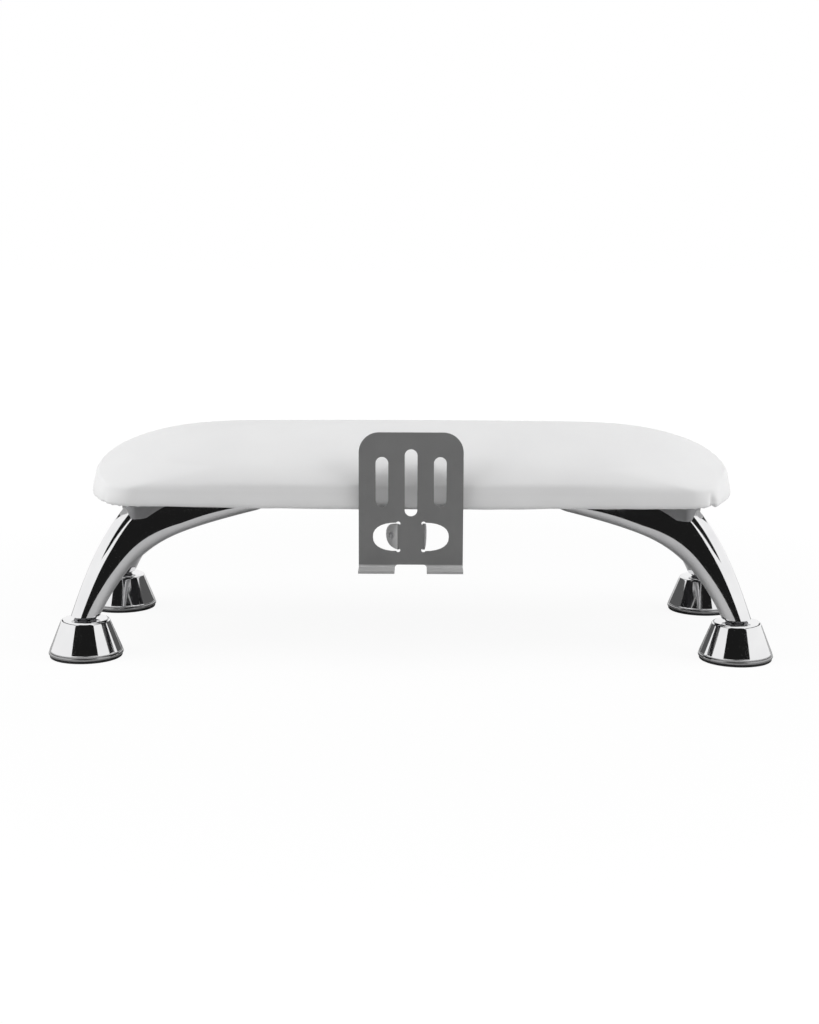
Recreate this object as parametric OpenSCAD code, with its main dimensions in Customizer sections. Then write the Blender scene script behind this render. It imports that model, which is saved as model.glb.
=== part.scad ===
/* [Cushion] */
// Length of the cushion at its widest level
cushion_length = 401; // [370:1:440]
// Depth of the cushion at its middle, front to back
cushion_depth = 146; // [136:1:160]
// Height of the cushion's underside above the table
cushion_lift = 91.5; // [84:0.5:105]
// Height of the crown above the cushion's underside
cushion_height = 45.2; // [38:0.2:56]
// How far the two ends bow outwards at their middle
end_bow = 21; // [8:1:26]
// How far the front and back bow outwards at their middle
side_bow = 6; // [2:0.5:9]
// Radius of the corners, seen from above
corner_r = 14; // [10:1:26]
// Length over which the crown falls to each end
crown_reach = 95; // [80:1:120]
// Width of the tuck along the bottom edge
edge_tuck = 3; // [1:0.5:5]
// Thickness of the leatherette cover
cover_t = 1; // [0.6:0.1:1.4]
// Width of the hem that is folded under the board
hem_w = 22; // [16:1:30]
// Thickness of the board
board_t = 11; // [10:0.5:18]
// Thickness of the dust cover
dust_cover_t = 0.5; // [0.3:0.1:0.8]

/* [Legs] */
// Distance from the cushion's end to the centre of the feet
foot_inset_x = 4; // [0:0.5:10]
// Distance from the cushion's front or back to the centre of the feet
foot_inset_y = 7; // [3:0.5:11]
// Angle of each leg to the cushion's length, seen from above
leg_yaw = 25; // [16:1:28]
// Distance from the foot's centre to the tip of the leg's flange
leg_reach = 120; // [110:1:126]
// Depth of the leg at its lower end, square to its curve
leg_end_depth = 15.8; // [14.5:0.1:17]
// Width of the leg at its lower end
leg_end_w = 16.9; // [15:0.1:18]
// Depth that pulls the leg's lower curve
leg_knee_depth = 24; // [21:0.2:27]
// Depth that pulls the leg's upper curve
leg_heel_depth = 60.4; // [56:0.2:64]
// Depth of the flange at its tip
leg_tip_depth = 6; // [5:0.2:8]
// Width that pulls the middle of the leg
leg_heel_w = 28; // [26:0.5:32]
// Width of the flange at its tip
leg_tip_w = 16; // [15:0.5:20]
// Squareness of the leg's section, where 2 is an ellipse
leg_section_power = 2.8; // [2:0.1:3.4]
// Height of the flat mounting pad on the leg
leg_pad_h = 8; // [5:0.5:9]
// Width of the mounting pad
leg_pad_w = 21; // [18:0.5:23]
// Distance from the foot's centre to the outer end of the mounting pad
leg_pad_start = 26; // [24:0.5:32]
// Length of the mounting pad
leg_pad_length = 31; // [26:1:40]

/* [Feet] */
// Diameter of the foot cup at its bead
foot_d = 44.8; // [40:0.2:48]
// Height of the cup's top above the table
foot_h = 23; // [20:0.5:26]
// Diameter of the cup where its shoulder ends
foot_top_d = 25.4; // [22:0.2:28]
// Radius of the cup's shoulder
foot_shoulder_r = 2.4; // [1.5:0.1:3]
// Radius of the bead round the cup's foot
foot_bead_r = 1.3; // [0.9:0.1:1.6]
// Wall of the cup
cup_t = 1.2; // [0.8:0.1:1.6]
// Height of the rubber that shows under the cup
pad_rim_h = 1.2; // [0.8:0.1:2]
// Diameter of the levelling stud
stud_d = 6; // [5:0.5:7]
// Size of the stud's hexagon across its flats
stud_hex = 12; // [10:0.5:13]
// Height of the stud's hexagon
stud_hex_h = 1.7; // [1.4:0.1:3]
// Length of stud that is screwed into the leg when the foot is fully in
stud_grip = 9.5; // [8:0.5:10]

/* [Phone plate] */
// Width of the plate
plate_w = 61.8; // [56:0.2:70]
// Height of the plate's top above the cushion's underside
plate_rise = 46.6; // [43:0.2:58]
// Depth of the lips' underside below the cushion's underside
plate_drop = 35.5; // [33.5:0.1:40]
// Thickness of the sheet
sheet_t = 1.5; // [1.2:0.1:1.8]
// Radius of the plate's top corners
plate_corner_r = 12; // [6:0.5:16]
// Depth of the lips in front of the plate
lip_depth = 12.4; // [9:0.2:18]
// Inner radius of the lips' bend
lip_bend_r = 1.5; // [1:0.1:2.5]
// Width of the cable notch between the lips
notch_w = 19; // [14:0.5:24]
// Corner radius of the cable notch
notch_r = 2; // [1:0.1:2.6]
// Width of each slot
slot_w = 7.5; // [5:0.1:8]
// Length of the middle slot
mid_slot_length = 40.2; // [30:0.2:42]
// Length of each side slot
side_slot_length = 29.8; // [22:0.2:32]
// Distance from the middle slot to each side slot
slot_pitch = 17.2; // [14:0.2:19]
// Height of the lower end of the middle slot above the hinge
mid_slot_rise = 12.3; // [11:0.1:14]
// Height of the lower end of each side slot above the hinge
side_slot_rise = 18.1; // [15:0.1:20]
// Distance between the fold lines of the two ears
ear_span = 15; // [14.6:0.1:15.6]
// Width of each D-shaped cut-out
cutout_w = 15; // [13.6:0.1:16]
// Height of each D-shaped cut-out
cutout_h = 17.4; // [16.5:0.1:18]
// Radius of the relief holes at the ends of the folds
relief_r = 1.3; // [1:0.1:1.5]
// Angle through which the left ear is bent back
left_ear_bend = 57; // [55:1:75]
// Angle through which the right ear is bent back
right_ear_bend = 85; // [82:1:90]

/* [Holder] */
// Depth of the hinge below the cushion's underside
hinge_drop = 15.8; // [14:0.1:17]
// Distance from the middle of the sheet to the hinge
hinge_back = 5.2; // [4.9:0.1:5.6]
// Gap between the cushion and the back of the plate
plate_gap = 1.5; // [1:0.1:2.4]
// Diameter of the hinge pin
hinge_pin_d = 4; // [3.4:0.1:4.4]
// Width of the fork over its two arms
fork_w = 11.8; // [11:0.1:12]
// Length of the fork's web under the board
fork_length = 50; // [44:1:60]
// Distance between the two bracket screws
bracket_screw_pitch = 26; // [22:0.5:30]

/* [Hidden] */

// Smoothness of round surfaces
$fn = 64;
// Radius of a hexagon's corners over its size across the flats
hex_corner = 1 / sqrt(3);
// Length by which cuts run past what they cut
overrun = 1;
// Clearance between parts that are assembled and stay put
seat_gap = 0.1;
// Clearance between the foam or the board and the cover round them
skin_gap = 0.2;
// Radial clearance of a pin or stud that turns in its hole
running_gap = 0.05;
// Radial clearance of a screw in a plain hole
screw_gap = 0.4;

// Sides of the hand rest: left and front are the negative ones
LEFT = -1;
RIGHT = 1;
FRONT = -1;
BACK = 1;

// Levels of the cushion, upwards from the table
cover_z = cushion_lift;
board_z = cover_z + cover_t;
crease_z = board_z + board_t;
crown_z = cushion_lift + cushion_height;
under_z = cushion_lift - dust_cover_t;

// Form of the cushion
end_round_share = 0.29;
end_round_z = cushion_lift + end_round_share * (crease_z - cushion_lift);
end_power = 2.3;
side_power = 1.9;
crease_inset = 0.8;
tuck_h = 1.6;
tuck_inset = 0.7;
widest_share = 0.35;
shoulder_share = 0.7;
shoulder_inset = 0.3;
crown_ring_shares = [0.14, 0.3, 0.46, 0.61, 0.74, 0.85, 0.93, 0.98, 0.998];
corner_steps = 5;
side_steps = 4;
end_steps = 3;
corner_growth = 2.6;
corner_full_share = 0.9;

// Levels of a foot, upwards from the table
pad_plug_h = 1.4;
core_z = pad_rim_h + pad_plug_h;
leg_end_z = foot_h + stud_hex_h + 2 * seat_gap;
foot_x = cushion_length / 2 - foot_inset_x;
foot_y = cushion_depth / 2 - foot_inset_y;
foot_hole_r = stud_d / 2 + screw_gap;
bead_top_gap = 0.2;
stud_head_lip = 2.5;
stud_head_h = 2.4;
stud_head_r = stud_d / 2 + stud_head_lip;
stud_head_z = core_z + stud_head_h;

// Form of a leg: its spine runs from the foot to the tip of the flange
leg_rise = under_z - leg_end_z;
leg_spine_shares = [[0, 0], [0.242, 1.01], [0.567, 1.185], [1, 0.94]];
leg_spine = [for (p = leg_spine_shares) [p[0] * leg_reach, p[1] * leg_rise]];
leg_depths = [leg_end_depth, leg_knee_depth, leg_heel_depth, leg_tip_depth] / 2;
leg_widths = [leg_end_w, leg_end_w, leg_heel_w, leg_tip_w] / 2;
leg_start = -0.06;
leg_rings = 26;
leg_sides = 24;
leg_nose_start = 0.93;
leg_nose_end = 1.002;
leg_pad_corner_r = 5;
leg_bore_gap = 0.8;

// Leg screws: their places are shares of the leg's reach
leg_screw_shares = [0.58, 0.82];
leg_screw_spots = [for (s = leg_screw_shares) s * leg_reach];
leg_screw_d = 6;
leg_screw_head_d = 10;
leg_screw_head_h = 3.6;
leg_screw_key = 4;
leg_screw_bite = 6;
leg_screw_bore_end = 1;
leg_washer_d = 14;
leg_washer_t = 1.2;
leg_seat_t = 5;
leg_seat_z = board_z + leg_seat_t;

// Phone plate
hinge_z = cushion_lift - hinge_drop;
plate_back_y = -(cushion_depth / 2 + plate_gap);
plate_front_y = plate_back_y - sheet_t;
hinge_y = plate_back_y - sheet_t / 2 + hinge_back;
plate_top_z = cushion_lift + plate_rise;
lip_z = cushion_lift - plate_drop;
bend_z = lip_z + sheet_t + lip_bend_r;
ear_kerf = 0.45;
ear_trim = 2.2;
ear_w = cutout_w - ear_trim;
cutout_power = 2.4;
cutout_steps = 14;
hinge_bore_r = hinge_pin_d / 2 + running_gap;

// Holder
fork_t = 1.5;
fork_gap = 0.35;
fork_eye_r = hinge_back - sheet_t / 2 - fork_gap;
fork_setback = 30;
fork_front_y = plate_back_y + fork_setback;
fork_back_y = fork_front_y + fork_length;
fork_tail_h = 4;
fork_knee = 13;
washer_t = 1;
washer_w = 1.6;
washer_r = hinge_pin_d / 2 + washer_w;
pin_left_x = ear_hole_x(left_ear_bend) + ear_half_t(left_ear_bend) + sheet_t / 3;
pin_right_x = ear_hole_x(right_ear_bend) + ear_half_t(right_ear_bend);
bracket_screw_d = 4;
bracket_screw_head_d = 7.6;
bracket_screw_head_h = 2.6;
bracket_screw_key = 2.5;
bracket_screw_bite = 7;
bracket_insert_d = 6;
bracket_insert_length = 8;
bracket_screw_y = (fork_front_y + fork_back_y) / 2;

// Staples: wire, crown and depth, and their places along the hem
staple_wire = 0.6;
staple_crown = 10;
staple_depth = 7;
staple_inset = 15;
staple_side_shares = [-0.3, -0.2, -0.1, 0, 0.1, 0.2, 0.3];
staple_end_shares = [-0.1, 0.1];
staple_gap_at_bracket = 12;
dust_cover_inset = 9;

// Where the hinge meets an ear that is bent back by the given angle
function ear_hole_x(bend) = ear_span / 2 + hinge_back / tan(bend);
function ear_half_t(bend) = sheet_t / 2 / sin(bend);

// A falling quarter curve from 1 to 0, rounder for a larger power
function quarter(w, power) = (1 - min(1, max(0, w)) ^ power) ^ (1 / power);

// Half length and half depth of the cushion at a level, drawn in by an inset
function half_length(z, inset) =
    cushion_length / 2 - inset
    - crown_reach * (1 - quarter((z - end_round_z) / (crown_z - inset - end_round_z), end_power));
function half_depth(z, inset) =
    (cushion_depth / 2 - inset) * quarter((z - crease_z) / (crown_z - inset - crease_z), side_power);
function level_corner(z, b) =
    let (w = max(0, (z - crease_z) / (crown_z - crease_z)))
    let (full = corner_full_share * b)
    min(full, corner_r + (full - corner_r) * min(1, w * corner_growth));

// One corner of the outline, from the middle of an end to the middle of the front or back
function quadrant(a, b, r) = concat(
    [for (i = [0 : end_steps - 1]) [a, (b - r) * i / end_steps]],
    [for (i = [0 : corner_steps])
        let (turn = 90 * i / corner_steps)
        [a - r + r * cos(turn), b - r + r * sin(turn)]],
    [for (i = [1 : side_steps - 1]) [(a - r) * (1 - i / side_steps), b]]
);
function quarter_turn(p) = [-p[1], p[0]];

// The outline of a level: a rounded rectangle whose four sides bow outwards
function bowed(p, a, b) = [
    p[0] * (1 - end_bow / (cushion_length / 2) * (p[1] / b) ^ 2),
    p[1] * (1 - side_bow / (cushion_depth / 2) * (p[0] / a) ^ 2)
];
function outline(a, b, r) =
    let (q1 = quadrant(a, b, r))
    let (q2 = [for (p = quadrant(b, a, r)) quarter_turn(p)])
    [for (p = concat(q1, q2, -q1, -q2)) bowed(p, a, b)];

function level_outline(z, inset) =
    let (a = half_length(z, inset))
    let (b = half_depth(z, inset))
    outline(a, b, level_corner(z, b));

// Points and faces of a closed body through a stack of rings of the same count
function flat_list(rings) = [for (ring = rings) each ring];
function skin_faces(count, sides) = concat(
    [[for (i = [0 : sides - 1]) i]],
    [for (k = [0 : count - 2], i = [0 : sides - 1])
        let (j = (i + 1) % sides)
        [k * sides + i, (k + 1) * sides + i, k * sides + j]],
    [for (k = [0 : count - 2], i = [0 : sides - 1])
        let (j = (i + 1) % sides)
        [k * sides + j, (k + 1) * sides + i, (k + 1) * sides + j]],
    [[for (i = [0 : sides - 1]) count * sides - 1 - i]]
);

module skin(rings) {
    polyhedron(
        points = flat_list(rings),
        faces = skin_faces(len(rings), len(rings[0])),
        convexity = 4
    );
}

function at_level(points, z) = [for (p = points) [p[0], p[1], z]];
function crown_levels(inset) =
    [for (s = crown_ring_shares) crease_z + s * (crown_z - inset - crease_z)];

// The crowned form above the crease, drawn in by an inset
module crown(inset) {
    skin([
        for (z = concat([crease_z], crown_levels(inset))) at_level(level_outline(z, inset), z)
    ]);
}

// The straight part of the cushion between two levels, drawn in by an inset
module block(z0, z1, inset) {
    translate([0, 0, z0])
        linear_extrude(z1 - z0)
            polygon(level_outline(crease_z, inset));
}

// The whole outer form of the cushion, with its tucked bottom edge and its crease
module cushion_form() {
    wall = [
        [cover_z, edge_tuck],
        [cover_z + tuck_h, tuck_inset],
        [cover_z + widest_share * (crease_z - cover_z), 0],
        [cover_z + shoulder_share * (crease_z - cover_z), shoulder_inset],
        [crease_z, crease_inset]
    ];
    skin(concat(
        [for (w = wall) at_level(level_outline(w[0], w[1]), w[0])],
        [for (z = crown_levels(0)) at_level(level_outline(z, 0), z)]
    ));
}

module board() {
    color("burlywood")
        difference() {
            block(board_z, crease_z, edge_tuck + skin_gap);
            at_leg_screws() {
                translate([0, 0, board_z - overrun])
                    cylinder(r = leg_screw_d / 2 + screw_gap, h = leg_seat_t + 2 * overrun);
                translate([0, 0, leg_seat_z])
                    cylinder(r = leg_washer_d / 2 + screw_gap, h = board_t - leg_seat_t + overrun);
            }
            at_bracket_screws()
                translate([0, 0, board_z - overrun])
                    cylinder(r = bracket_insert_d / 2 + seat_gap, h = bracket_insert_length + overrun);
        }
}

module foam() {
    color("khaki")
        crown(cover_t + skin_gap);
}

module cover() {
    color("whitesmoke")
        difference() {
            cushion_form();
            crown(cover_t);
            block(board_z, crease_z, edge_tuck);
            block(cover_z - overrun, crease_z, hem_w);
            at_leg_screws()
                translate([0, 0, cover_z - overrun])
                    cylinder(r = leg_screw_d / 2 + screw_gap, h = cover_t + 2 * overrun);
        }
}

module dust_cover() {
    color("dimgray")
        difference() {
            block(under_z, cover_z, dust_cover_inset);
            at_leg_screws()
                translate([0, 0, under_z - overrun])
                    cylinder(r = leg_screw_d / 2 + screw_gap, h = dust_cover_t + 2 * overrun);
            at_bracket_screws()
                translate([0, 0, under_z - overrun])
                    cylinder(r = bracket_screw_d / 2 + screw_gap, h = dust_cover_t + 2 * overrun);
        }
}

module staple() {
    translate([-staple_crown / 2, -staple_wire / 2, 0])
        cube([staple_crown, staple_wire, staple_wire]);
    for (side = [LEFT, RIGHT])
        translate([side * (staple_crown - staple_wire) / 2 - staple_wire / 2, -staple_wire / 2, 0])
            cube([staple_wire, staple_wire, staple_depth]);
}

module staples() {
    side_y = cushion_depth / 2 - side_bow - staple_inset;
    end_x = cushion_length / 2 - staple_inset;
    color("silver")
        translate([0, 0, under_z - staple_wire]) {
            for (end = [FRONT, BACK], s = staple_side_shares)
                if (end == BACK || abs(s * cushion_length) > staple_gap_at_bracket)
                    translate([s * cushion_length, end * side_y, 0])
                        staple();
            for (side = [LEFT, RIGHT], s = staple_end_shares)
                translate([side * end_x, s * cushion_depth, 0])
                    rotate([0, 0, 90])
                        staple();
        }
}

// Puts a front left thing at any corner
module corner(side, end) {
    mirror([side == RIGHT ? 1 : 0, 0, 0])
        mirror([0, end == BACK ? 1 : 0, 0])
            children();
}

// Turns a front left leg's own frame into its place: X runs along the leg, from the foot's axis
module leg_frame() {
    translate([-foot_x, -foot_y, 0])
        rotate([0, 0, leg_yaw])
            children();
}

module at_leg_screws() {
    for (side = [LEFT, RIGHT], end = [FRONT, BACK])
        corner(side, end)
            leg_frame()
                for (x = leg_screw_spots)
                    translate([x, 0, 0])
                        children();
}

module at_bracket_screws() {
    for (shift = [FRONT, BACK])
        translate([0, bracket_screw_y + shift * bracket_screw_pitch / 2, 0])
            children();
}

// A cubic curve through its first and last values
function curve(p, t) =
    p[0] * (1 - t) ^ 3 + 3 * p[1] * (1 - t) ^ 2 * t + 3 * p[2] * (1 - t) * t ^ 2 + p[3] * t ^ 3;
function curve_slope(p, t) =
    (p[1] - p[0]) * (1 - t) ^ 2 + 2 * (p[2] - p[1]) * (1 - t) * t + (p[3] - p[2]) * t ^ 2;
function unit(v) = v / norm(v);

// The last stretch of the flange narrows to a round nose
function nose(t) = sqrt(1 - (max(0, t - leg_nose_start) / (leg_nose_end - leg_nose_start)) ^ 2);

function squared(share) = sign(share) * abs(share) ^ (2 / leg_section_power);

function leg_ring(t) =
    let (c = curve(leg_spine, t))
    let (along = unit(curve_slope(leg_spine, t)))
    let (depth = curve(leg_depths, t) * nose(t))
    let (width = curve(leg_widths, t) * nose(t))
    [for (i = [0 : leg_sides - 1])
        let (turn = 360 * i / leg_sides)
        let (high = depth * squared(cos(turn)))
        [
            c[0] - along[1] * high,
            -width * squared(sin(turn)),
            leg_end_z + c[1] + along[0] * high
        ]];

module rounded_bar(length, width, height, r) {
    translate([r, -width / 2, 0])
        cube([length - 2 * r, width, height]);
    translate([0, -width / 2 + r, 0])
        cube([length, width - 2 * r, height]);
    for (x = [r, length - r], y = [r - width / 2, width / 2 - r])
        translate([x, y, 0])
            cylinder(r = r, h = height);
}

// One leg in its own frame: a curved horn cut level at the foot and under the board
module leg_body() {
    difference() {
        union() {
            intersection() {
                skin([
                    for (k = [0 : leg_rings])
                        leg_ring(leg_start + (1 - leg_start) * k / leg_rings)
                ]);
                translate([-leg_reach / 2, -leg_reach / 2, leg_end_z])
                    cube([2 * leg_reach, leg_reach, leg_rise]);
            }
            translate([leg_pad_start, 0, under_z - leg_pad_h])
                rounded_bar(leg_pad_length, leg_pad_w, leg_pad_h, leg_pad_corner_r);
        }
        translate([0, 0, leg_end_z - overrun])
            cylinder(r = stud_d / 2 + running_gap, h = stud_grip + leg_bore_gap + overrun);
        for (x = leg_screw_spots)
            translate([x, 0, under_z - leg_screw_bite - leg_screw_bore_end])
                cylinder(
                    r = leg_screw_d / 2 + running_gap,
                    h = leg_screw_bite + leg_screw_bore_end + overrun
                );
    }
}

module leg(side, end) {
    color("silver")
        corner(side, end)
            leg_frame()
                leg_body();
}

// A screw that points up, with the seat of its head at the origin
module cap_screw(d, length, head_d, head_h, key) {
    difference() {
        union() {
            cylinder(r = d / 2, h = length);
            translate([0, 0, -head_h])
                cylinder(r = head_d / 2, h = head_h);
        }
        translate([0, 0, -head_h - overrun])
            cylinder(r = key * hex_corner, h = head_h / 2 + overrun, $fn = 6);
    }
}

// A plain ring that stands on the origin
module ring(d, bore_d, height) {
    difference() {
        cylinder(r = d / 2, h = height);
        translate([0, 0, -overrun])
            cylinder(r = bore_d / 2, h = height + 2 * overrun);
    }
}

module leg_screws() {
    color("silver")
        at_leg_screws()
            translate([0, 0, leg_seat_z + leg_washer_t])
                mirror([0, 0, 1])
                    cap_screw(
                        leg_screw_d,
                        leg_seat_z + leg_washer_t - under_z + leg_screw_bite,
                        leg_screw_head_d,
                        leg_screw_head_h,
                        leg_screw_key
                    );
}

module leg_washers() {
    color("silver")
        at_leg_screws()
            translate([0, 0, leg_seat_z])
                ring(leg_washer_d, leg_screw_d + 2 * seat_gap, leg_washer_t);
}

module bracket_screws() {
    color("silver")
        at_bracket_screws()
            translate([0, 0, under_z - fork_t])
                cap_screw(
                    bracket_screw_d,
                    fork_t + board_z - under_z + bracket_screw_bite,
                    bracket_screw_head_d,
                    bracket_screw_head_h,
                    bracket_screw_key
                );
}

module bracket_inserts() {
    color("goldenrod")
        at_bracket_screws()
            translate([0, 0, board_z])
                ring(bracket_insert_d, bracket_screw_d + 2 * running_gap, bracket_insert_length);
}

// Outer face of the cup's cone: it leaves the shoulder square to the shoulder's radius
cone_turn = 22.5;
bead_turn = 70;
bead_steps = 8;
shoulder_steps = 5;
shoulder_x = foot_top_d / 2;
shoulder_z = foot_h - foot_shoulder_r;
cone_top_x = shoulder_x + foot_shoulder_r * cos(cone_turn);
cone_top_z = shoulder_z + foot_shoulder_r * sin(cone_turn);
bead_x = foot_d / 2 - foot_bead_r;
bead_z = pad_rim_h + foot_bead_r;
cone_foot_z = bead_z + foot_bead_r + bead_top_gap;
cone_foot_x = foot_d / 2 - foot_bead_r / 3;
cup_mouth_x = bead_x - foot_bead_r / 4;
wall_x = cup_t / cos(cone_turn);

function arc(cx, cy, r, from, to, steps) =
    [for (i = [0 : steps])
        let (turn = from + (to - from) * i / steps)
        [cx + r * cos(turn), cy + r * sin(turn)]];

// Puts a foot's part on the foot's axis at a corner
module foot_place(side, end) {
    translate([side * foot_x, end * foot_y, 0])
        children();
}

module foot_cup(side, end) {
    color("silver")
        foot_place(side, end)
            rotate_extrude()
                polygon(concat(
                    [[cup_mouth_x, pad_rim_h]],
                    arc(bead_x, bead_z, foot_bead_r, -90, bead_turn, bead_steps),
                    [[cone_foot_x, cone_foot_z]],
                    arc(shoulder_x, shoulder_z, foot_shoulder_r, cone_turn, 90, shoulder_steps),
                    [[foot_hole_r, foot_h]],
                    [[foot_hole_r, foot_h - cup_t]],
                    [[shoulder_x, foot_h - cup_t]],
                    [[cone_top_x - wall_x, cone_top_z - cup_t / 2]],
                    [[cone_foot_x - wall_x, cone_foot_z]],
                    [[cup_mouth_x, cone_foot_z - cup_t]]
                ));
}

module foot_core(side, end) {
    inner_top_z = foot_h - cup_t - seat_gap;
    color("dimgray")
        foot_place(side, end)
            rotate_extrude()
                polygon([
                    [stud_head_r + seat_gap, core_z],
                    [cup_mouth_x - seat_gap, core_z],
                    [cup_mouth_x - seat_gap, cone_foot_z - cup_t],
                    [cone_foot_x - wall_x - 2 * seat_gap, cone_foot_z],
                    [cone_top_x - wall_x - 2 * seat_gap, cone_top_z - cup_t / 2],
                    [shoulder_x - 2 * seat_gap, inner_top_z],
                    [stud_d / 2 + running_gap, inner_top_z],
                    [stud_d / 2 + running_gap, stud_head_z + seat_gap],
                    [stud_head_r + seat_gap, stud_head_z + seat_gap]
                ]);
}

module foot_pad(side, end) {
    color("black")
        foot_place(side, end) {
            cylinder(r = foot_d / 2 - foot_bead_r / 2, h = pad_rim_h);
            cylinder(r = cup_mouth_x - seat_gap, h = core_z);
        }
}

module foot_stud(side, end) {
    color("dimgray")
        foot_place(side, end) {
            translate([0, 0, stud_head_z - stud_head_h])
                cylinder(r = stud_head_r, h = stud_head_h);
            translate([0, 0, stud_head_z - stud_head_h])
                cylinder(r = stud_d / 2, h = leg_end_z + stud_grip - stud_head_z + stud_head_h);
            translate([0, 0, foot_h + seat_gap])
                cylinder(r = stud_hex * hex_corner, h = stud_hex_h, $fn = 6);
        }
}

// A round-ended slot in the plate, from its lower end upwards
module slot(width, length) {
    translate([-width / 2, width / 2])
        square([width, length - width]);
    for (z = [width / 2, length - width / 2])
        translate([0, z])
            circle(r = width / 2);
}

// Half of a rounded D whose straight side lies on the fold line
function d_points(width, height) =
    [for (i = [0 : cutout_steps])
        let (turn = -90 + 180 * i / cutout_steps)
        [
            width * max(0, cos(turn)) ^ (2 / cutout_power),
            sign(sin(turn)) * height / 2 * abs(sin(turn)) ^ (2 / cutout_power)
        ]];

module plate_outline() {
    r = plate_corner_r;
    top = plate_top_z - hinge_z;
    low = bend_z - hinge_z;
    translate([-plate_w / 2, low])
        square([plate_w, top - low - r]);
    translate([-plate_w / 2 + r, low])
        square([plate_w - 2 * r, top - low]);
    for (side = [LEFT, RIGHT])
        translate([side * (plate_w / 2 - r), top - r])
            circle(r = r);
}

module plate_cutouts() {
    translate([0, mid_slot_rise])
        slot(slot_w, mid_slot_length);
    for (side = [LEFT, RIGHT]) {
        translate([side * slot_pitch, side_slot_rise])
            slot(slot_w, side_slot_length);
        translate([side * ear_span / 2, 0])
            scale([side, 1])
                polygon(d_points(cutout_w, cutout_h));
        for (z = [-1, 1])
            translate([side * ear_span / 2, z * (cutout_h / 2 - relief_r / 2)])
                circle(r = relief_r);
    }
}

// An ear, folded back about its fold line on the side given
module ear(side, bend) {
    translate([side * ear_span / 2, plate_back_y - sheet_t / 2, hinge_z])
        rotate([0, 0, side * bend])
            mirror([side == LEFT ? 1 : 0, 0, 0])
                translate([-sheet_t / 4, sheet_t / 2, 0])
                    rotate([90, 0, 0])
                        linear_extrude(sheet_t)
                            polygon(d_points(ear_w, cutout_h - 2 * ear_kerf - relief_r));
}

// The bend and the flat of the lips, drawn from the side
module lip_section() {
    bend_y = plate_front_y - lip_bend_r;
    difference() {
        translate([bend_y, bend_z])
            circle(r = lip_bend_r + sheet_t);
        translate([bend_y, bend_z])
            circle(r = lip_bend_r);
        translate([bend_y - 2 * lip_depth, lip_z - overrun])
            square([2 * lip_depth, 2 * lip_depth]);
        translate([bend_y - lip_depth, bend_z])
            square([2 * lip_depth, lip_depth]);
    }
    translate([plate_front_y - lip_depth, lip_z])
        square([lip_depth - lip_bend_r, sheet_t]);
    translate([plate_front_y, bend_z - overrun / 2])
        square([sheet_t, overrun]);
}

module lips() {
    difference() {
        translate([-plate_w / 2, 0, 0])
            rotate([90, 0, 90])
                linear_extrude(plate_w)
                    lip_section();
        translate([0, plate_back_y + overrun, 0])
            rotate([90, 0, 0])
                linear_extrude(lip_depth + sheet_t + 2 * overrun) {
                    translate([-notch_w / 2, lip_z - overrun])
                        square([notch_w, bend_z - lip_z - notch_r + overrun]);
                    translate([-notch_w / 2 + notch_r, lip_z - overrun])
                        square([notch_w - 2 * notch_r, bend_z - lip_z + overrun]);
                    for (side = [LEFT, RIGHT])
                        translate([side * (notch_w / 2 - notch_r), bend_z - notch_r])
                            circle(r = notch_r);
                }
    }
}

module phone_plate() {
    color("gray")
        difference() {
            union() {
                translate([0, plate_back_y, hinge_z])
                    rotate([90, 0, 0])
                        linear_extrude(sheet_t)
                            difference() {
                                plate_outline();
                                plate_cutouts();
                            }
                lips();
                ear(LEFT, left_ear_bend);
                ear(RIGHT, right_ear_bend);
            }
            translate([-plate_w / 2, hinge_y, hinge_z])
                rotate([0, 90, 0])
                    cylinder(r = hinge_bore_r, h = plate_w);
        }
}

// One arm of the fork, drawn from the side: a web edge, a slope and an eye at the hinge
module fork_arm_section() {
    low_z = hinge_z - fork_eye_r;
    difference() {
        union() {
            translate([hinge_y, hinge_z])
                circle(r = fork_eye_r);
            polygon([
                [hinge_y, low_z],
                [hinge_y + fork_knee, low_z],
                [fork_back_y, under_z - fork_tail_h],
                [fork_back_y, under_z],
                [fork_front_y, under_z],
                [hinge_y, hinge_z + fork_eye_r]
            ]);
        }
        translate([hinge_y, hinge_z])
            circle(r = hinge_pin_d / 2 + seat_gap / 4);
    }
}

module holder_bracket() {
    color("gray")
        difference() {
            union() {
                for (x = [-fork_w / 2, fork_w / 2 - fork_t])
                    translate([x, 0, 0])
                        rotate([90, 0, 90])
                            linear_extrude(fork_t)
                                fork_arm_section();
                translate([-fork_w / 2, fork_front_y, under_z - fork_t])
                    cube([fork_w, fork_length, fork_t]);
            }
            at_bracket_screws()
                translate([0, 0, under_z - fork_t - overrun])
                    cylinder(r = bracket_screw_d / 2 + seat_gap, h = fork_t + 2 * overrun);
        }
}

module hinge_pin() {
    color("silver")
        translate([-pin_left_x, hinge_y, hinge_z])
            rotate([0, 90, 0])
                cylinder(r = hinge_pin_d / 2, h = pin_left_x + pin_right_x);
}

module hinge_washers() {
    color("dimgray")
        for (side = [LEFT, RIGHT])
            translate([side * (fork_w + washer_t) / 2 - washer_t / 2, hinge_y, hinge_z])
                rotate([0, 90, 0])
                    ring(2 * washer_r, hinge_pin_d + 2 * seat_gap, washer_t);
}

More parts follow.
